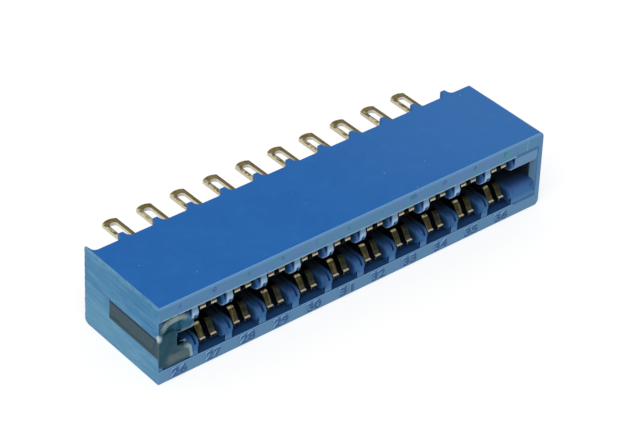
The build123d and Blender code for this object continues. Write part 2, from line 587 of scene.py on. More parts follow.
        # Between the lips, dark cells and floors darker inwards are painted shade.
        inside = at.from_middle.until(layout.mouth_half, self.mouth_edge) * at.depth.rise(*self.mouth_depth)
        inside = inside * at.y.until(layout.back, self.mouth_back)
        inside = inside * at.x.until(layout.right - layout.end_wall, self.wall_face)
        colour = blend(inside, colour, self._mouth(at))
        cut = (-at.turn_x).rise(*self.faces_along) * at.x.until(layout.left, self.cut_reach)
        height = grain * self.grain_depth + at.noise(self.blade) * cut * self.blade_depth
        return {
            "Base Color": blend(cut, colour, self._cut(at)),
            "Roughness": self.roughness + 0.2 * cut + 0.1 * grain,
            "Normal": at.sheet.bump(height, 0.5, self.relief * MM),
            "Specular IOR Level": self.gloss,
        }

    def _skin(self, at: Site, grain: Wire) -> Wire:
        """Colour of the moulded skin, duller towards the moulded end, with specks of dust on top.

        Args:
            at: The place on the piece.
            grain: Fine grain from 0 to 1.

        Returns:
            The colour.
        """
        blend = at.sheet.blend
        colour = blend(at.mottled(self.clouds) * 0.5 + grain * 0.5, self.skin, self.skin_shade)
        # The skin turns greyer towards the moulded end and in slow patches.
        dull = 0.7 * at.x.rise(*self.dull_along) + 0.25 * at.mottled(self.dulling)
        colour = blend(dull, colour, self.skin_greyer)
        cells = {"Vector": at.place, "Scale": self.dust_scale}
        specks = at.sheet.wire("ShaderNodeTexVoronoi", {}, cells, "Distance").fall(*self.dust_size)
        dust = specks * at.mottled(self.dusty) * at.turn_z.rise(*self.faces_up)
        return blend(0.7 * dust, colour, self.speck)

    def _edge_glint(self, at: Site) -> Wire:
        """Mask of a painted highlight along the edges round the mating face, strongest there and weaker along
        the top.
        """
        tilted = (-at.turn_y).rise(*self.edge_glint_front) * abs(at.turn_z).rise(*self.edge_glint_tilt)
        top = at.turn_z.rise(*self.top_tilt) * at.z.past(self.layout.top, self.edge_glint_top)
        worn = tilted * at.depth.fall(*self.edge_glint_depth) * (1.0 - 0.85 * top)
        return worn * (0.35 + 0.65 * at.mottled(self.edge_glint_breaks))

    def _lip(self, at: Site) -> Wire:
        """Colour of the lips' front, painted paler as a sheen: drifting greys, a paler lower lip, bright rims
        and one fine line.

        Args:
            at: The place on the piece.

        Returns:
            The colour.
        """
        layout, blend = self.layout, at.sheet.blend
        middle, half = layout.mouth_middle, layout.mouth_half
        colour = blend(at.mottled(self.violet_drift), self.lip, self.lip_violet)
        colour = blend(at.mottled(self.teal_drift), colour, self.lip_teal)
        colour = blend(at.z.fall(middle - half, middle) * 0.6, colour, self.lip_low)
        # Painted highlights along the lips' inner edges, broken up along the upper edge; one fine line is
        # laid in the same colour.
        upper_rim = abs(at.z - (middle + half)).fall(*self.upper_rim) * at.mottled(self.rim_glint_breaks)
        lower_rim = abs(at.z - (middle - half)).fall(*self.lower_rim) * 0.5
        line = abs(at.x - (layout.right - self.line_from_end)).fall(*self.line_width)
        line = line * at.z.rise(middle, middle + half) * 0.35
        at_block = at.x.past(layout.right - layout.end_block, self.block_start)
        colour = blend((upper_rim | lower_rim) * (1.0 - at_block) | line, colour, self.rim)
        # Painted highlight along the top of the front face.
        colour = blend(at.z.past(layout.top, self.lip_top) * 0.4, colour, self.edge)
        # A dark line painted as shade in the crease beside the end block's mouth.
        block_rim = abs(at.from_middle - (half + self.block_rim)).fall(*self.block_rim_width)
        block_rim = block_rim * at_block * at.x.until(layout.right, self.block_rim_end)
        return blend(block_rim, colour, self.end_line)

    def _mouth(self, at: Site) -> Wire:
        """Colour between the lips with painted shade: sides darker by the noses, floors darker inwards, dark
        cells, noses and feet.

        Args:
            at: The place on the piece.

        Returns:
            The colour.
        """
        layout, blend, depth = self.layout, at.sheet.blend, at.depth
        behind = depth - (layout.nose_setback + layout.nose_radius)
        beside = at.from_middle - layout.nose_offset
        from_axis = at.sheet.maths("SQRT", behind * behind + beside * beside)
        cloud = at.noise(self.nose_cloud)

        side = abs(at.turn_x).rise(*self.faces_along) * depth.fall(*self.side_depth)
        flank = blend(from_axis.rise(*self.side_ring) * (0.6 + 0.4 * cloud), self.side_shade, self.side)
        # The last wall is painted light near the front and dark as shade further in.
        last = blend(depth.rise(*self.last_side_depth), self.end_wall, self.cell)
        flank = blend(at.x.past(layout.right, self.last_side), flank, last)
        over_nose = from_axis.within(self.nose_start, self.nose_end) * depth.fall(*self.nose_depth)
        colour = blend(side, blend(over_nose, self.cell, self.nose_top), flank)
        floor = abs(at.turn_z).rise(*self.faces_floor)
        floor = floor * at.from_middle.past(layout.mouth_half, self.floor_edge)
        colour = blend(floor, colour, blend(depth.rise(*self.floor_depth), self.floor_front, self.floor_back))
        rolled = from_axis.within(self.roll_start, self.roll_end) * depth.fall(*self.roll_depth)
        head = (-at.turn_y).rise(*self.faces_front) * depth.fall(*self.head_depth)
        front = (rolled * (1.0 - side)) | head
        return blend(front, colour, self._nose(at, cloud.fall(*self.nose_cloud.band)))

    def _nose(self, at: Site, cloud: Wire) -> Wire:
        """Colour of the separators' fronts, by the place across a separator and the height.

        Light and shade are painted in. The lower noses are darker than the upper ones and deepest towards the
        middle, as painted shade. The left part of a lower nose is clouded and shaded and its right part
        plain, with a pale rim and foot painted as light. The left part of an upper nose is a hood painted
        dark as shade, with a painted highlight on its lower rim, beside a foot painted pale as a reflection.
        The first foot is sawn, and the block at the moulded end has rolls without feet, with painted
        highlights on their rims and a dark line painted as shade in their crease.

        Args:
            at: The place on the piece.
            cloud: Mask of the clouded places.

        Returns:
            The colour.
        """
        layout, blend, height = self.layout, at.sheet.blend, at.from_middle
        share = at.sheet.maths("FRACT", (at.x - layout.first_cell) * (1.0 / layout.pitch))
        across = (share - 0.5) * layout.pitch
        between = at.x.past(layout.left, self.feet_start)
        between = between * at.x.until(layout.right - layout.end_block, self.feet_end)

        # Lower noses: painted shade, deeper towards the middle, and painted light on a stripe and on the
        # feet.
        low = blend(across.fall(*self.clouded_part) * cloud, self.nose_low, self.nose_shade)
        low = blend(height.fall(*self.nose_inner) * 0.8, low, self.nose_deep)
        low = blend(height.fall(*self.nose_tip) * 0.6, low, self.hood_deep)
        stripe = across.within(self.stripe_start, self.stripe_end)
        low = blend(stripe * 0.7 * between, low, self.foot_low)
        on_foot = across.rise(*self.low_foot_side) | (1.0 - between)
        low = blend(height.rise(*self.low_foot_top) * on_foot, low, self.foot_low)

        # Upper noses: painted shade at the top of the hoods, painted highlights on their rims and painted
        # reflection on the feet.
        shade = height.rise(*self.hood_shade) * (0.55 + 0.45 * across.rise(*self.hood_shade_side))
        hood = blend(shade, self.hood, self.hood_deep)
        hood = blend(height.fall(*self.hood_rim_top), hood, self.hood_rim)
        foot = blend(height.fall(*self.foot_bright_top), self.foot_high, self.foot_bright)
        dent = height.fall(*self.dent_top) * across.rise(*self.dent_side)
        foot = blend(dent, foot, self.hood)
        foot_rim = height.fall(*self.foot_rim_top) | across.rise(*self.foot_rim_side)
        foot = blend(foot_rim, foot, self.hood_rim)
        roll = blend(height.fall(*self.roll_rim_top), self.end_roll, self.end_roll_rim)
        roll = blend(height.rise(*self.roll_line), roll, self.end_line)
        high = blend(across.fall(*self.hood_part) * between, blend(between, roll, foot), hood)
        high = blend(at.x.until(layout.left, self.sawn_width), high, self.sawn_foot)
        return blend(at.z.past(layout.mouth_middle, self.middle), low, high)

    def _cut(self, at: Site) -> Wire:
        """Colour of the saw cut: streaks and fine lines along the blade's way, a chalky border and a smear.

        Args:
            at: The place on the piece.

        Returns:
            The colour.
        """
        layout, blend, depth = self.layout, at.sheet.blend, at.depth
        colour = blend(at.mottled(self.streaks), self.cut_deep, self.cut)
        chalk = 0.4 * at.mottled(self.patches) + 0.4 * at.z.fall(*self.chalk_low)
        chalk = chalk + 0.15 * depth.rise(*self.chalk_back)
        colour = blend(chalk, colour, self.cut_pale)
        border = at.z.past(layout.top, self.border_top) | 0.4 * depth.fall(*self.border_front)
        colour = blend(0.6 * border * at.mottled(self.chips), colour, self.cut_line)
        colour = blend(0.7 * at.mottled(self.lines), colour, self.cut_line)
        slot_low = layout.mouth_middle - layout.slot_half
        smear = at.z.past(slot_low, self.smear_start) * at.z.until(slot_low, self.smear_end)
        smear = smear * depth.until(layout.slot_depth, self.smear_back)
        return blend(smear, colour, self.smear)


@dataclass(frozen=True)
class PlatedMetal(Finish):
    """Gold-coloured plating, tarnished on rolled faces, with painted highlights on edges, crests and tips and
    painted shade.
    """

    face: Colour = display(54, 54, 38)
    face_shaded: Colour = display(40, 45, 35)
    streak: Colour = display(120, 104, 62)
    tarnish_and_shade: Colour = display(34, 33, 24)
    flank: Colour = display(104, 98, 76)
    edge: Colour = display(222, 212, 176)
    inner: Colour = display(250, 246, 232)
    # Colour of the painted highlights on the legs and the upper tips' ends.
    tip: Colour = display(222, 214, 190)
    crest: Colour = display(246, 232, 184)
    tail: Colour = display(124, 108, 64)
    tail_dark: Colour = display(80, 72, 38)
    tail_bright: Colour = display(196, 190, 160)

    spots: Mottle = Mottle(2.2, 3.0, band=(0.45, 0.75))
    grain: Mottle = Mottle(1.0, 3.0, stretch=(9.0, 0.8, 0.8), band=(0.5, 0.7))
    crest_glint_breaks: Mottle = Mottle(4.0, band=(0.3, 0.5))

    stamped_facing: Band = (0.5, 0.8)
    end_facing: Band = (0.85, 0.95)
    level: Band = (0.35, 0.6)
    eyelet_facing: Band = (-0.4, 0.4)
    near_prong: Band = (-0.03, 0.03)
    mouth_middle: Band = (-0.1, 0.1)
    crest_width: Band = (0.06, 0.2)
    leg_front: Band = (-0.08, 0.04)
    lower_tip_drop: float = 0.18
    tip_width: Band = (0.0, 0.2)
    tip_depth: Band = (0.9, 1.0)
    behind: Band = (-0.1, 0.1)
    rubbed_spots: Band = (0.35, 0.7)
    shaded_side: Band = (0.1, 0.22)
    shiny_spots: Band = (0.4, 0.6)
    shiny_side: Band = (-0.2, -0.1)
    eyelet_half: Band = (0.117, 0.122)
    roughness: float = 0.28

    def inputs(self, at: Site) -> dict[str, Value]:
        """Lays the streaks, the crests' painted highlights, the tips and the tails over the rolled face.

        Widths across a contact are shares of the pitch.

        Args:
            at: The place on the piece.

        Returns:
            The shader's inputs.
        """
        layout, blend = self.layout, at.sheet.blend
        share = at.sheet.maths("FRACT", (at.x - layout.first_cell) * (1.0 / layout.pitch) + 0.5)
        across = share - 0.5
        near = across.fall(*self.near_prong)
        spots = at.noise(self.spots)
        stamped = abs(at.turn_x).rise(*self.stamped_facing)
        rolled = 1.0 - stamped

        # The far prong is painted darker as shade, and the streaks show mostly on the near, lit prong.
        colour = blend(near, self.face_shaded, self.face)
        colour = blend(at.mottled(self.grain) * (0.15 + 0.5 * near), colour, self.streak)
        colour = blend(spots.rise(*self.spots.band) * 0.7, colour, self.tarnish_and_shade)
        colour = blend(stamped, colour, self.flank)
        # Painted highlight along the crests, mostly on the near prong and broken up by a mottle.
        crest = abs(at.depth - layout.crest_from_front).fall(*self.crest_width) * rolled
        crest = crest * (0.1 + 0.9 * near) * (0.35 + 0.65 * at.mottled(self.crest_glint_breaks))
        colour = blend(crest, colour, self.crest)
        # Painted highlights on the flat legs and on the upper tips' ends; the lower tips' ends are left out
        # of them.
        end = (-at.turn_y).rise(*self.end_facing)
        leg = at.depth.until(layout.leg_from_front, self.leg_front) * (1.0 - end)
        lower = at.z.until(layout.mouth_middle, self.mouth_middle)
        tip_height = at.from_middle + self.lower_tip_drop * lower
        tip_end = end * tip_height.until(layout.tip_from_middle, self.tip_width)
        shine = ((leg * rolled) | tip_end) * at.depth.fall(*self.tip_depth) * (0.9 + 0.1 * lower)
        colour = blend(shine, colour, self.tip)
        # End faces outside the painted highlight are painted dark, standing in for the lower tips' shade.
        colour = blend(end * (1.0 - shine), colour, self.tarnish_and_shade)

        # Tails: painted shade on their right side mixed with dark spots, and a painted highlight on the left
        # rail.
        behind = at.y.past(layout.back, self.behind)
        sheared = abs(at.turn_z).fall(*self.level) * behind
        dark_spots_and_shade = spots.rise(*self.rubbed_spots) | across.rise(*self.shaded_side)
        tail = blend(dark_spots_and_shade * 0.8, self.tail, self.tail_dark)
        tail = blend(across.fall(*self.shiny_side) * spots.fall(*self.shiny_spots), tail, self.tail_bright)
        colour = blend(behind, colour, tail)
        # Sheared edges are paler, partly as bare metal and partly as a painted highlight; the eyelets' inner
        # walls get a painted highlight.
        colour = blend(sheared, colour, self.edge)
        eyelet = sheared * abs(across).fall(*self.eyelet_half) * (-at.turn_y).rise(*self.eyelet_facing)
        return {
            "Base Color": blend(eyelet, colour, self.inner),
            "Roughness": self.roughness + 0.15 * spots,
            # The painted highlights are made mostly diffuse so that their colour shows.
            "Metallic": 1.0 - (0.75 * (sheared | shine | crest) | eyelet | crest),
        }


@dataclass(frozen=True)
class CuredSealant(Finish):
    """Cloudy grey-green sealant with painted highlights on its ridges, a browner lower part and a soft shine.
    """

    ridge: str
    body: Colour = display(36, 80, 98)
    deep: Colour = display(34, 70, 86)
    brown: Colour = display(82, 106, 110)
    brown_pale: Colour = display(98, 116, 116)
    brown_deep: Colour = display(52, 80, 98)
    film: Colour = display(40, 98, 126)
    # Colours of the painted highlights on the ridges and at one spot.
    pale: Colour = display(134, 154, 156)
    glint: Colour = display(136, 178, 192)
    spot: Colour = display(196, 210, 218)
    slot: Colour = display(58, 84, 94)
    slot_deep: Colour = display(48, 76, 88)
    slot_shadow_line: Colour = display(6, 44, 82)
    slot_skin: Colour = display(80, 144, 182)

    cloud: Mottle = Mottle(1.3, 3.0, band=(0.4, 0.7))
    streaks: Mottle = Mottle(1.5, 4.0, 0.6, (0.7, 0.7, 3.5), (0.45, 0.65))
    blade: Mottle = Mottle(1.4, 4.0, 0.6, (1.0, 0.2, 5.0), (0.4, 0.65))
    pores: Mottle = Mottle(4.0)

    film_clouds: Band = (0.45, 0.8)
    ridge_clouds: Band = (0.25, 0.55)
    brown_top: Band = (2.5, 3.5)
    brown_start: Band = (0.6, 1.4)
    brown_upper: Band = (2.7, 3.2)
    brown_lower: Band = (1.7, 2.0)
    film_start: Band = (1.8, 2.2)
    film_bottom: Band = (4.5, 5.0)
    ridge_high: Band = (5.6, 6.8)
    ridge_far: Band = (2.6, 3.4)
    glint_start: Band = (3.3, 3.7)
    glint_top: Band = (4.0, 4.5)
    spot_place: Place = (0.0, 0.2, 5.25)
    spot_size: Band = (0.15, 0.6)
    sawn_facing: Band = (0.8, 0.95)
    sawn_reach: Band = (0.5, 0.6)
    sawn_depth: Band = (0.2, 0.5)
    slot_front: Band = (0.2, 1.6)
    line_bottom: Band = (-0.5, -0.42)
    skin_bottom: Band = (-0.24, -0.16)
    relief: float = 0.06
    roughness: float = 0.3
    gloss: float = 0.08

    @property
    def origin(self) -> Sequence[float]:
        """The corner of the cut end, the mating face and the bottom."""
        return tuple(self.layout.corner)

    def inputs(self, at: Site) -> dict[str, Value]:
        """Lays the brown, the film, painted highlights on the ridges marked in the mesh and the sawn slot
        over the body.

        Args:
            at: The place on the piece, counted from the corner of the cut end.

        Returns:
            The shader's inputs.
        """
        sheet, blend, x, z = at.sheet, at.sheet.blend, at.x, at.z
        cloud = at.noise(self.cloud)
        colour = blend(cloud.rise(*self.cloud.band), self.body, self.deep)
        brown = blend(at.mottled(self.streaks), self.brown, self.brown_pale)
        brown = blend(z.rise(*self.brown_upper) | z.fall(*self.brown_lower), brown, self.brown_deep)
        colour = blend(z.fall(*self.brown_top) * x.rise(*self.brown_start), colour, brown)
        film = x.rise(*self.film_start) * z.rise(*self.film_bottom)
        colour = blend(film * cloud.fall(*self.film_clouds), colour, self.film)
        # Painted highlights: pale along the ridges, more so higher up and further in, a glint lower down and
        # a pale spot by the saw edge.
        ridge = sheet.wire("ShaderNodeAttribute", {"attribute_name": self.ridge}, {}, "Fac")
        high = 0.15 + 0.85 * (z.rise(*self.ridge_high) | x.rise(*self.ridge_far))
        colour = blend(ridge * high * cloud.rise(*self.ridge_clouds), colour, self.pale)
        colour = blend(ridge * x.rise(*self.glint_start) * z.fall(*self.glint_top), colour, self.glint)
        away = sheet.vector_maths("DISTANCE", {0: at.place, 1: self.spot_place}, "Value")
        colour = blend(away.fall(*self.spot_size), colour, self.spot)

        blade = at.noise(self.blade)
        dark = blade.rise(*self.blade.band) | at.depth.fall(*self.slot_front)
        slot = blend(dark, self.slot, self.slot_deep)
        slot_top = self.layout.mouth_middle + self.layout.slot_half
        # Painted shadow along the top of the sawn slot, with a thin strip of blue skin above it.
        slot = blend(z.past(slot_top, self.line_bottom), slot, self.slot_shadow_line)
        slot = blend(z.past(slot_top, self.skin_bottom), slot, self.slot_skin)
        sawn = (-at.turn_x).rise(*self.sawn_facing) * x.fall(*self.sawn_reach)
        sawn = sawn * at.depth.rise(*self.sawn_depth)
        return {
            "Base Color": blend(sawn, colour, slot),
            "Roughness": self.roughness,
            "Normal": sheet.bump(at.noise(self.pores) + blade * 0.5, 0.35, self.relief * MM),
            "Specular IOR Level": self.gloss,
        }


class Softening(Enum):
    """Width in millimetres of the worn edges of a piece."""

    MOULDED = 0.05
    STAMPED = 0.03


class Row(Enum):
    """The two rows of contacts, each with the start of its nodes' names."""

    LOWER = "lower_contact_"
    UPPER = "upper_contact_"


def in_scene(name: str, data: bpy.types.ID) -> bpy.types.Object:
    """A new object, put into the scene."""
    made = bpy.data.objects.new(name, data)
    bpy.context.scene.collection.objects.link(made)
    return made


def new_mesh(name: str, points: np.ndarray, faces: np.ndarray) -> bpy.types.Mesh:
    """A mesh of points in millimetres and faces of point numbers."""
    mesh = bpy.data.meshes.new(name)
    mesh.from_pydata((points * MM).tolist(), [], faces.tolist())
    return mesh


def applied(source: bpy.types.Object) -> bpy.types.Mesh:
    """A mesh of what an object looks like with its modifiers. The object is removed."""
    bpy.context.view_layer.update()
    mesh = bpy.data.meshes.new_from_object(source.evaluated_get(bpy.context.evaluated_depsgraph_get()))
    bpy.data.objects.remove(source)
    return mesh


def smooth(mesh: bpy.types.Mesh, crease: float = CREASE) -> None:
    """Shades a mesh smooth, with edges sharper than the crease's degrees kept."""
    mesh.shade_smooth()
    mesh.set_sharp_from_angle(angle=math.radians(crease))


def bevel(piece: bpy.types.Object, name: str, width: float, crease: float) -> None:
    """Rounds a piece's edges.

    Args:
        piece: The piece.
        name: Name of the modifier.
        width: Width of the rounding in millimetres.
        crease: Degrees from which an edge is rounded.
    """
    modifier = piece.modifiers.new(name, "BEVEL")
    modifier.width = width * MM
    modifier.segments = 2
    modifier.limit_method = "ANGLE"
    modifier.angle_limit = math.radians(crease)


def mesh_points(mesh: bpy.types.Mesh) -> np.ndarray:
    """A mesh's points in millimetres, a row each."""
    points = np.empty(len(mesh.vertices) * 3)
    mesh.vertices.foreach_get("co", points)
    return points.reshape(-1, 3) / MM


def sealed(mesh: bpy.types.Mesh) -> bpy.types.Mesh:
    """A mesh with its doubled points merged and its faces turned outward."""
    work = bmesh.new()
    work.from_mesh(mesh)
    bmesh.ops.remove_doubles(work, verts=work.verts, dist=MERGED)
    bmesh.ops.recalc_face_normals(work, faces=work.faces)
    work.to_mesh(mesh)
    work.free()
    return mesh


def finished_piece(
    name: str, mesh: bpy.types.Mesh, finish: bpy.types.Material
) -> bpy.types.Object:
    """Puts a mesh into the scene as a piece that rides on the one body.

    Args:
        name: Name of the piece.
        mesh: Its mesh, in place and in metres.
        finish: Its material.

    Returns:
        The piece.
    """
    mesh.materials.clear()
    mesh.materials.append(finish)
    piece = in_scene(name, mesh)
    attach(piece, ROOT)
    return piece


@dataclass
class NodeCopy:
    """A node's mesh with its facets merged, curved faces smooth and edges slightly worn."""

    node: str
    flat_angle: float = 1.0

    def mesh(self) -> bpy.types.Mesh:
        """Merges the node's loose triangles into one mesh, in which flat neighbours become one face.

        Returns:
            The new mesh.
        """
        mesh = bpy.data.meshes.new(self.node + "_dressed")
        work = bmesh.new()
        work.from_mesh(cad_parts[self.node].data)
        bmesh.ops.remove_doubles(work, verts=work.verts, dist=MERGED)
        limit = math.radians(self.flat_angle)
        bmesh.ops.dissolve_limit(work, angle_limit=limit, verts=work.verts, edges=work.edges)
        work.to_mesh(mesh)
        work.free()
        smooth(mesh)
        return mesh

    def piece(self, finish: bpy.types.Material, slot: str, softening: Softening) -> bpy.types.Object:
        """Builds the copy in place of the node.

        Args:
            finish: Its material.
            slot: Not used.
            softening: How far its edges are worn.

        Returns:
            The new piece.
        """
        piece = finished_piece(self.node + "_dressed", self.mesh(), finish)
        bevel(piece, "worn_edges", softening.value, CREASE)
        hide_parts(self.node)
        return piece


@dataclass
class Housing:
    """The moulded housing with its raised position marks."""

    layout: Layout
    finish: bpy.types.Material
    numeral_height: float = 0.95
    numeral_width: float = 1.75
    numeral_weight: float = 0.038
    numeral_middle: float = 0.83
    numeral_shift: float = 0.15
    letter_height: float = 0.52
    letter_weight: float = 0.01
    letter_middle: float = 8.1
    letter_shift: float = 0.25
    letters: str = "defhjklmnpr"
    relief: float = 0.12
    letter_relief: float = 0.03
    rounding: float = 0.05
    rounding_crease: float = 30.0
    sunk: float = 0.05
    curve_steps: int = 4

    def build(self) -> list[bpy.types.Object]:
        """Builds the body and the marks on its lips.

        Returns:
            The pieces.
        """
        pieces = [NodeCopy("housing").piece(self.finish, HOUSING_SLOT, Softening.MOULDED)]
        for index in range(self.layout.positions):
            position = self.layout.first_position + index
            x = self.layout.cell(position)
            place = (x + self.numeral_shift, self.numeral_middle)
            size = (self.numeral_width, self.numeral_height)
            weight = self.numeral_weight
            pieces.append(self._mark(f"numeral_{position}", str(position), place, size, weight, self.relief))
            place = (x + self.letter_shift, self.letter_middle)
            size = (0.0, self.letter_height)
            weight, text = self.letter_weight, self.letters[index]
            pieces.append(self._mark(f"letter_{position}", text, place, size, weight, self.letter_relief))
        return pieces

    def _mark(
        self,
        name: str,
        text: str,
        place: tuple[float, float],
        size: tuple[float, float],
        weight: float,
        relief: float,
    ) -> bpy.types.Object:
        """Raised characters on the mating face, read from the front.

        The flat characters are made a mesh, scaled to their width and height, turned upright and set into the
        face.

        Args:
            name: Name of the piece.
            text: The characters.
            place: Middle of the characters along X and up Z.
            size: Width and height. A width of 0 keeps the characters' own proportions.
            weight: How much the strokes are thickened on each side.
            relief: How far they stand proud of the face.

        Returns:
            The piece.
        """
        curve = bpy.data.curves.new(name, "FONT")
        curve.body = text
        curve.offset = weight
        curve.extrude = 0.5
        curve.resolution_u = self.curve_steps
        mesh = applied(in_scene(name, curve))
        points = mesh_points(mesh)
        low = points.min(axis=0)
        span = np.ptp(points, axis=0)
        middled = (points - low - span / 2) / span
        height = size[1]
        width = size[0] or height * span[0] / span[1]
        thick = relief + self.sunk
        placed = np.stack(
            [
                place[0] + middled[:, 0] * width,
                self.layout.front - relief + thick / 2 - middled[:, 2] * thick,
                place[1] + middled[:, 1] * height,
            ],
            axis=1,
        )
        mesh.vertices.foreach_set("co", (placed * MM).ravel())
        smooth(sealed(mesh))
        piece = finished_piece(name, mesh, self.finish)
        bevel(piece, "soft_rims", self.rounding, self.rounding_crease)
        return piece


@dataclass
class ContactRow:
    """One row of sprung contacts."""

    row: Row
    finish: bpy.types.Material

    def build(self) -> list[bpy.types.Object]:
        """Dresses every contact of the row."""
        nodes = sorted(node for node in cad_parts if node.startswith(self.row.value))
        return [NodeCopy(node).piece(self.finish, CONTACT_SLOT, Softening.STAMPED) for node in nodes]


@dataclass(frozen=True)
class Bead:
    """A round strand along a cubic curve of four control points, with the number of points along it."""

    curve: tuple[Place, Place, Place, Place]
    radius: float
    count: int

    def path(self) -> np.ndarray:
        """Points along the curve.

        With a share t from 0 to 1, s = 1 - t and the control points a, b, c and d, a point is
        s^3 a + 3 s^2 t b + 3 s t^2 c + t^3 d.

        Returns:
            An array with a row for each point.
        """
        share = np.linspace(0.0, 1.0, self.count)[:, None]
        rest = 1.0 - share
        first, second, third, last = (np.array(point) for point in self.curve)
        return rest**3 * first + 3 * rest**2 * share * second + 3 * rest * share**2 * third + share**3 * last


@dataclass(frozen=True)
class Block:
    """A rounded block between two corners. Its fullness is 1 for an ellipsoid and less for a fuller block."""

    low: Place
    high: Place
    fullness: float = 0.35


@dataclass
class Lump:
    """A closed surface of a grid of points, which other lumps may overlap."""

    points: np.ndarray
    around: ClassVar[int] = 16
    rows: ClassVar[int] = 24

    @classmethod
    def strand(cls, bead: Bead) -> "Lump":
        """A round strand along a bead's curve.

        At a share u of its length it is a circle of radius r sqrt(1 - (2u - 1)^6) square to the path, so that
        it closes to a point at each end.

        Args:
            bead: Its curve, and its radius r.

        Returns:
            The strand.
        """
        path = bead.path()
        ahead = np.gradient(path, axis=0)
        ahead /= np.linalg.norm(ahead, axis=1, keepdims=True)
        beside = np.cross(ahead, (0.0, 1.0, 0.0))
        beside /= np.linalg.norm(beside, axis=1, keepdims=True)
        third = np.cross(ahead, beside)
        share = np.linspace(-1.0, 1.0, len(path))
        radii = bead.radius * np.sqrt(1.0 - share**6)
        angle = np.linspace(0.0, 2 * np.pi, cls.around, endpoint=False)[None, :, None]
        ring = np.cos(angle) * beside[:, None, :] + np.sin(angle) * third[:, None, :]
        return cls(path[:, None, :] + radii[:, None, None] * ring)

    @classmethod
    def pillow(cls, block: Block) -> "Lump":
        """A block with rounded sides.

        It is a superellipsoid: with c and s the cosine and sine of an angle, each raised to the fullness and
        keeping its sign, a point is (c(v) c(u), c(v) s(u), s(v)) times half the block's size. Twice as many
        points go round as from pole to pole.

        Args:
            block: Its corners and its fullness.

        Returns:
            The pillow.
        """
        low, high = np.array(block.low), np.array(block.high)
        rise = np.linspace(-np.pi / 2, np.pi / 2, cls.rows)[:, None]
        turn = np.linspace(0.0, 2 * np.pi, 2 * cls.rows, endpoint=False)[None, :]

        def full(value: np.ndarray) -> np.ndarray:
            """A sine or cosine raised to the fullness, with its sign kept."""
            return np.sign(value) * np.abs(value) ** block.fullness

        flat = full(np.cos(rise))
        level = np.broadcast_to(full(np.sin(rise)), (cls.rows, 2 * cls.rows))
        unit = np.stack([flat * full(np.cos(turn)), flat * full(np.sin(turn)), level], axis=-1)
        return cls((low + high) / 2 + unit * (high - low) / 2)

    def mesh_data(self, start: int) -> tuple[np.ndarray, np.ndarray]:
        """Points and four-sided faces of the grid, closed round its columns.

        Args:
            start: Number of the first point.

        Returns:
            The points, a row each, and the faces' point numbers.
        """
        rows, columns = self.points.shape[:2]
        number = start + np.arange(rows * columns).reshape(rows, columns)
        following = np.roll(number, -1, axis=1)
        faces = np.stack([number[:-1], following[:-1], following[1:], number[1:]], axis=-1)
        return self.points.reshape(-1, 3), faces.reshape(-1, 4)


@dataclass
class SawBurr:
    """Ragged lip that the saw left along the back edge of the cut end."""

    layout: Layout
    finish: bpy.types.Material
    reach: float = 0.42
    ragged: float = 0.05
    root: float = 0.3
    thickness: float = 0.16
    below_top: float = 0.04
    waves: tuple[Band, ...] = ((3.1, 0.0), (7.7, 1.0), (17.0, 2.0))
    closing: int = 40
    rows: int = 120
    around: int = 16

    def build(self) -> bpy.types.Object:
        """Builds the lip.

        At a height z its section is an ellipse on the saw's plane, from the root inside the last rib to the
        reach behind it. The reach has the mean of the sine waves of z added, each with its own pace and
        start, and closes at both ends with the factor (1 - u^40)^(1/2), where u goes from -1 at the bottom
        to 1 at the top.

        Returns:
            The piece.
        """
        share = np.linspace(-1.0, 1.0, self.rows)
        height = (share + 1.0) / 2 * (self.layout.top - self.below_top)
        closing = np.sqrt(1.0 - share**self.closing)
        waves = np.mean([np.sin(pace * height + start) for pace, start in self.waves], axis=0)
        rib_tip = self.layout.back + self.layout.ribs
        tip = rib_tip + (self.reach + self.ragged * waves) * closing
        root = np.full(self.rows, rib_tip - self.root)
        middle, half = (tip + root) / 2, (tip - root) / 2 * closing
        angle = np.linspace(0.0, 2 * np.pi, self.around, endpoint=False)
        y = middle[:, None] + half[:, None] * np.cos(angle)[None, :]
        z = np.repeat(height[:, None], self.around, axis=1)
        slopes = self.layout.saw_slopes
        plane = self.layout.left + slopes[1] * (y - self.layout.front) + slopes[2] * z
        x = plane + self.thickness / 2 * (1.0 - closing[:, None] * np.sin(angle)[None, :])
        mesh = new_mesh("saw_burr", *Lump(np.stack([x, y, z], axis=-1)).mesh_data(0))
        mesh.shade_smooth()
        return finished_piece("saw_burr", sealed(mesh), self.finish)


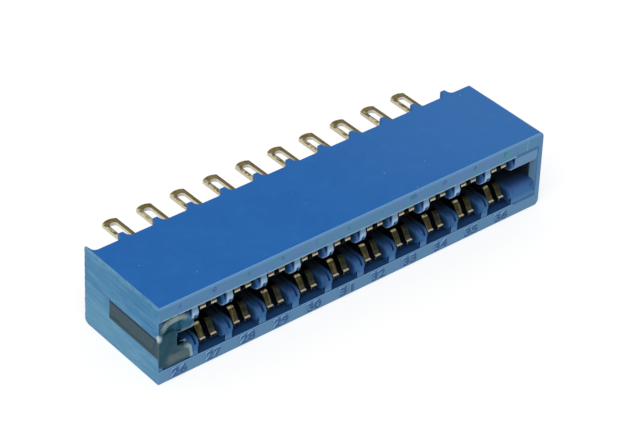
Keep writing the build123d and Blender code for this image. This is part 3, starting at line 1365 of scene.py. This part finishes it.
@dataclass
class EndSealant:
    """Lumpy sealant in the cut end of the slot and across the first mouth, with a hole into the mouth.

    Its beads and blocks are counted from the corner of the cut end, the mating face and the bottom.
    """

    layout: Layout
    ridge: str = "ridge"
    strand: Bead = Bead(((-0.2, 0.25, 4.8), (0.9, 0.2, 6.5), (1.0, 0.2, 7.1), (3.7, 0.3, 6.25)), 0.34, 48)
    rim: Bead = Bead(((2.2, 0.35, 4.9), (2.9, 0.4, 4.7), (3.9, 0.2, 4.8), (4.25, 0.05, 5.3)), 0.09, 32)
    shoulder: Bead = Bead(
        ((1.9, 0.3, 3.35), (3.2, 0.25, 3.05), (3.95, 0.1, 3.15), (3.8, 0.02, 1.6)), 0.13, 40
    )
    streak: Bead = Bead(((2.8, 0.75, 3.32), (3.0, 0.7, 3.32), (3.3, 0.7, 3.27), (3.7, 0.7, 3.2)), 0.07, 16)
    corner: Bead = Bead(((-0.4, 0.3, 3.4), (-0.1, 0.28, 2.4), (0.4, 0.28, 1.8), (1.4, 0.3, 1.75)), 0.34, 24)
    bulk: Block = Block((-0.8, -0.05, 2.0), (2.3, 1.5, 5.35))
    below: Block = Block((0.3, 0.03, 1.43), (3.95, 0.8, 3.1))
    film: Block = Block((0.6, 0.55, 4.7), (4.3, 1.1, 7.2), 0.45)
    cover: Block = Block((2.6, 0.1, 4.7), (4.4, 1.2, 6.5), 0.8)
    slot_start: Band = (-1.0, 0.02)
    slot_reach: float = 0.9
    slot_fullness: float = 0.08
    voxel: float = 0.07
    smoothing: int = 5
    waves: tuple[Place, Place, Place] = ((2.6, 1.1, 3.1), (4.3, 2.9, -3.2), (3.7, -1.9, 5.6))
    ripple: float = 0.06
    ridge_reach: float = 0.1
    crease: float = 60.0

    def _ridges(self) -> list[Bead]:
        """The ridges that get painted highlights: strand under the upper lip, film's rim, shoulder and streak
        in the hole.
        """
        return [self.strand, self.rim, self.shoulder, self.streak]

    def _lumps(self) -> list[Lump]:
        """All the lumps."""
        layout = self.layout
        low = (*self.slot_start, layout.mouth_middle - layout.slot_half)
        high = (self.slot_reach, layout.slot_depth, layout.mouth_middle + layout.slot_half)
        fill = Lump.pillow(Block(low, high, self.slot_fullness))
        blocks = [Lump.pillow(block) for block in (self.bulk, self.below, self.film, self.cover)]
        return [fill, *blocks, *(Lump.strand(bead) for bead in (self.corner, *self._ridges()))]

    def _joined(self) -> bpy.types.Mesh:
        """All the lumps in one mesh."""
        points: list[np.ndarray] = []
        faces: list[np.ndarray] = []
        start = 0
        for lump in self._lumps():
            own_points, own_faces = lump.mesh_data(start)
            points.append(own_points)
            faces.append(own_faces)
            start += len(own_points)
        return new_mesh("sealant_lumps", np.concatenate(points) + self.layout.corner, np.concatenate(faces))

    def _melted(self) -> bpy.types.Mesh:
        """One skin over all the lumps, made of even voxels and smoothed."""
        source = in_scene("sealant_source", self._joined())
        even = source.modifiers.new("even", "REMESH")
        even.mode = "VOXEL"
        even.voxel_size = self.voxel * MM
        soften = source.modifiers.new("soften", "SMOOTH")
        soften.iterations = self.smoothing
        return applied(source)

    def _rippled(self, mesh: bpy.types.Mesh) -> None:
        """Moves each point along its surface direction by the mean of the sine waves of its place."""
        points = mesh_points(mesh)
        normals = np.empty(points.size)
        mesh.vertex_normals.foreach_get("vector", normals)
        waves = np.sin(points @ np.array(self.waves).T)
        moved = points + normals.reshape(-1, 3) * waves.mean(axis=1, keepdims=True) * self.ripple
        mesh.vertices.foreach_set("co", (moved * MM).ravel())

    def _sawn(self, mesh: bpy.types.Mesh) -> None:
        """Cuts the mesh off in the plane of the saw and closes it there."""
        work = bmesh.new()
        work.from_mesh(mesh)
        sawn = bmesh.ops.bisect_plane(
            work,
            geom=work.verts[:] + work.edges[:] + work.faces[:],
            plane_co=self.layout.corner * MM,
            plane_no=np.array([1.0, 0.0, 0.0]) - self.layout.saw_slopes,
            clear_inner=True,
        )
        edges = [item for item in sawn["geom_cut"] if isinstance(item, bmesh.types.BMEdge)]
        bmesh.ops.holes_fill(work, edges=edges, sides=0)
        work.to_mesh(mesh)
        work.free()

    def _mark_ridges(self, mesh: bpy.types.Mesh) -> None:
        """Marks the ridges in an attribute of the points.

        It is exp(-(d / r)^2), with d the distance outside the nearest ridge's radius and r the ridges' reach.
        """
        points = mesh_points(mesh) - self.layout.corner
        outside = [
            np.linalg.norm(points[:, None, :] - bead.path()[None, :, :], axis=2).min(axis=1) - bead.radius
            for bead in self._ridges()
        ]
        nearest = np.maximum(np.min(outside, axis=0), 0.0)
        attribute = mesh.attributes.new(self.ridge, "FLOAT", "POINT")
        attribute.data.foreach_set("value", np.exp(-((nearest / self.ridge_reach) ** 2)).astype(np.float32))

    def build(self) -> bpy.types.Object:
        """Builds the sealant in place of its node.

        Returns:
            The piece.
        """
        mesh = self._melted()
        self._rippled(mesh)
        self._sawn(mesh)
        self._mark_ridges(mesh)
        smooth(mesh, self.crease)
        finish = CuredSealant(self.layout, self.ridge).material("cured_sealant")
        piece = finished_piece("end_sealant_lumps", mesh, finish)
        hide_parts("end_sealant")
        return piece


@dataclass
class Studio:
    """Camera, lamps, floor and surroundings."""

    picture_width: float = 640.0
    focal_length_pixels: float = 2775.5
    sensor_width: float = 36.0
    camera_place: Place = (-139.80, -165.00, 159.77)
    camera_azimuth: float = -40.673
    camera_elevation: float = 35.897
    camera_roll: float = 2.060
    surroundings: float = 0.62
    lamp_energy: float = 1.1
    lamp_size: float = 400.0
    lamp_place: Place = (-260.0, -200.0, 430.0)
    floor_half: float = 2000.0
    floor_shade: float = 0.8
    floor_shade_seen: float = 0.4
    floor_glow: float = 0.69
    clip_start: float = 1.0
    clip_end: float = 10000.0

    def camera(self) -> bpy.types.Object:
        """Puts the camera at the photograph's place."""
        data = bpy.data.cameras.new("camera")
        data.sensor_width = self.sensor_width
        data.lens = self.focal_length_pixels / self.picture_width * self.sensor_width
        data.clip_start = self.clip_start * MM
        data.clip_end = self.clip_end * MM
        camera = in_scene("camera", data)
        turn = Matrix.Rotation(math.radians(self.camera_azimuth), 4, "Z")
        tilt = Matrix.Rotation(math.radians(90.0 - self.camera_elevation), 4, "X")
        roll = Matrix.Rotation(math.radians(self.camera_roll), 4, "Z")
        camera.matrix_world = Matrix.Translation(Vector(self.camera_place) * MM) @ turn @ tilt @ roll
        bpy.context.scene.camera = camera
        return camera

    def lamp(self) -> bpy.types.Object:
        """Hangs one large soft lamp over the object's near left side."""
        data = bpy.data.lights.new("soft_box", "AREA")
        data.shape = "SQUARE"
        data.size = self.lamp_size * MM
        data.energy = self.lamp_energy
        lamp = in_scene("soft_box", data)
        lamp.location = Vector(self.lamp_place) * MM
        lamp.rotation_euler = (-lamp.location).to_track_quat("-Z", "Y").to_euler()
        return lamp

    def world(self) -> None:
        """Even grey light all round, seen as white by the camera and in reflections."""
        world = bpy.data.worlds.new("studio")
        bpy.context.scene.world = world
        world.use_nodes = True
        sheet = Sheet(world.node_tree)
        strength = sheet.seen() * (1.0 - self.surroundings) + self.surroundings
        light = sheet.wire("ShaderNodeBackground", {}, {"Color": grey(1.0), "Strength": strength})
        sheet.node("ShaderNodeOutputWorld", {}, {"Surface": light})

    def floor(self) -> bpy.types.Object:
        """Lays a plain pale floor, which the camera sees brighter than its light on the object.

        Returns:
            The floor.
        """
        corners = np.array([(-1.0, -1.0, 0.0), (1.0, -1.0, 0.0), (1.0, 1.0, 0.0), (-1.0, 1.0, 0.0)])
        floor = in_scene("floor", new_mesh("floor", corners * self.floor_half, np.array([(0, 1, 2, 3)])))
        material, sheet = new_material("pale_floor")
        plain = sheet.wire("ShaderNodeBsdfDiffuse", {}, {"Color": grey(self.floor_shade)})
        dim = sheet.wire("ShaderNodeBsdfDiffuse", {}, {"Color": grey(self.floor_shade_seen)})
        glow = sheet.wire("ShaderNodeEmission", {}, {"Color": grey(1.0), "Strength": self.floor_glow})
        bright = sheet.wire("ShaderNodeAddShader", {}, {0: dim, 1: glow})
        surface = sheet.wire("ShaderNodeMixShader", {}, {0: sheet.seen(), 1: plain, 2: bright})
        sheet.node("ShaderNodeOutputMaterial", {}, {"Surface": surface})
        floor.data.materials.append(material)
        return floor


def main() -> None:
    """Builds the studio and the pieces in order."""
    logging.basicConfig(level=logging.INFO, format="%(name)s: %(message)s")
    bpy.context.scene.view_settings.view_transform = "Standard"
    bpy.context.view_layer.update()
    studio = Studio()
    studio.camera()
    studio.lamp()
    studio.world()
    studio.floor()

    layout = Layout.from_frame()
    metal = PlatedMetal(layout).material("plated_metal")
    blue = MouldedBlue(layout).material("moulded_blue")
    pieces = Housing(layout, blue).build()
    pieces.append(SawBurr(layout, blue).build())
    for row in Row:
        pieces += ContactRow(row, metal).build()
    pieces.append(EndSealant(layout).build())
    for piece in pieces:
        log.info("%s: %d faces", piece.name, len(piece.data.polygons))


if __name__ == "__main__":
    main()
